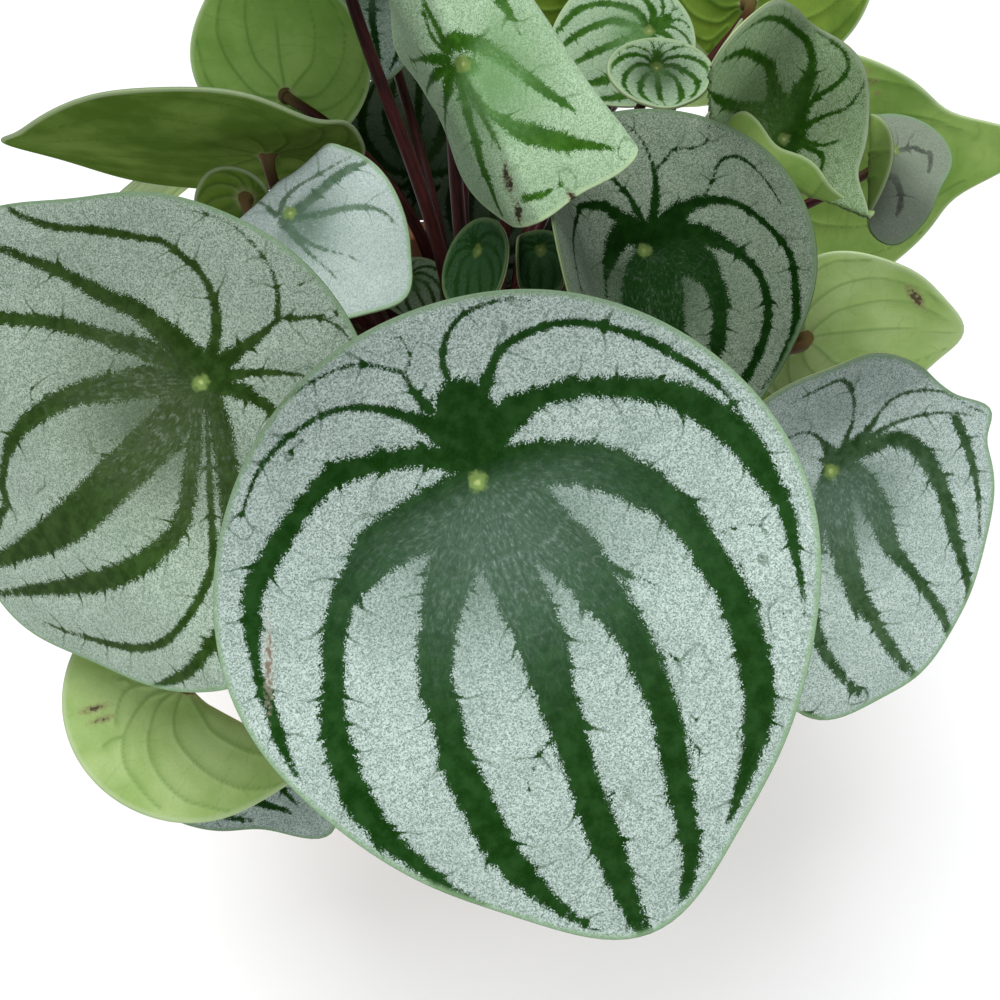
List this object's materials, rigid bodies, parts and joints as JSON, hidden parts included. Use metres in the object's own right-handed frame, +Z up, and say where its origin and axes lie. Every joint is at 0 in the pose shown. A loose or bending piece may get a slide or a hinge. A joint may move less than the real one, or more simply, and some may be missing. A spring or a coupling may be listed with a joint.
{
  "type": "potted peperomia",
  "caption": "Watermelon peperomia with round silver leaves banded dark green, held at their middle on red stalks, growing in soil in a plain round clay pot.",
  "frame": {"origin": "middle of the pot's flat underside, on the surface that it stands on", "axes": "+Z up out of the pot; -Y towards the side that the largest leaf faces, +X to the right when seen from there"},
  "size_m": [0.28, 0.3337, 0.229],
  "materials": {
    "clay": "matte",
    "soil": "rough",
    "leaf_blade": "satin",
    "petiole": "satin"
  },
  "bodies": {
    "root": {"pot": "clay", "soil": "soil", "leaf_front_blade": "leaf_blade", "leaf_front_petiole": "petiole", "leaf_left_blade": "leaf_blade", "leaf_left_petiole": "petiole", "leaf_low_left_blade": "leaf_blade", "leaf_low_left_petiole": "petiole", "leaf_right_blade": "leaf_blade", "leaf_right_petiole": "petiole", "leaf_mid_right_blade": "leaf_blade", "leaf_mid_right_petiole": "petiole", "leaf_top_centre_blade": "leaf_blade", "leaf_top_centre_petiole": "petiole", "leaf_upper_right_blade": "leaf_blade", "leaf_upper_right_petiole": "petiole", "leaf_far_right_blade": "leaf_blade", "leaf_far_right_petiole": "petiole", "leaf_grey_blade": "leaf_blade", "leaf_grey_petiole": "petiole", "leaf_right_low_blade": "leaf_blade", "leaf_right_low_petiole": "petiole", "leaf_left_flat_blade": "leaf_blade", "leaf_left_flat_petiole": "petiole", "leaf_left_small_blade": "leaf_blade", "leaf_left_small_petiole": "petiole", "leaf_upper_left_blade": "leaf_blade", "leaf_upper_left_petiole": "petiole", "leaf_top_left_blade": "leaf_blade", "leaf_top_left_petiole": "petiole", "leaf_young_blade": "leaf_blade", "leaf_young_petiole": "petiole", "leaf_shaded_blade": "leaf_blade", "leaf_shaded_petiole": "petiole", "leaf_rolled_blade": "leaf_blade", "leaf_rolled_petiole": "petiole", "leaf_top_striped_blade": "leaf_blade", "leaf_top_striped_petiole": "petiole", "leaf_curled_blade": "leaf_blade", "leaf_curled_petiole": "petiole", "leaf_top_green_blade": "leaf_blade", "leaf_top_green_petiole": "petiole", "leaf_top_edge_blade": "leaf_blade", "leaf_top_edge_petiole": "petiole", "leaf_under_mid_blade": "leaf_blade", "leaf_under_mid_petiole": "petiole", "leaf_olive_blade": "leaf_blade", "leaf_olive_petiole": "petiole", "leaf_inner_left_blade": "leaf_blade", "leaf_inner_left_petiole": "petiole", "leaf_inner_mid_blade": "leaf_blade", "leaf_inner_mid_petiole": "petiole", "leaf_crest_blade": "leaf_blade", "leaf_crest_petiole": "petiole", "leaf_back_left_blade": "leaf_blade", "leaf_back_left_petiole": "petiole", "leaf_back_mid_blade": "leaf_blade", "leaf_back_mid_petiole": "petiole", "leaf_back_right_blade": "leaf_blade", "leaf_back_right_petiole": "petiole"}
  },
  "joints": []
}
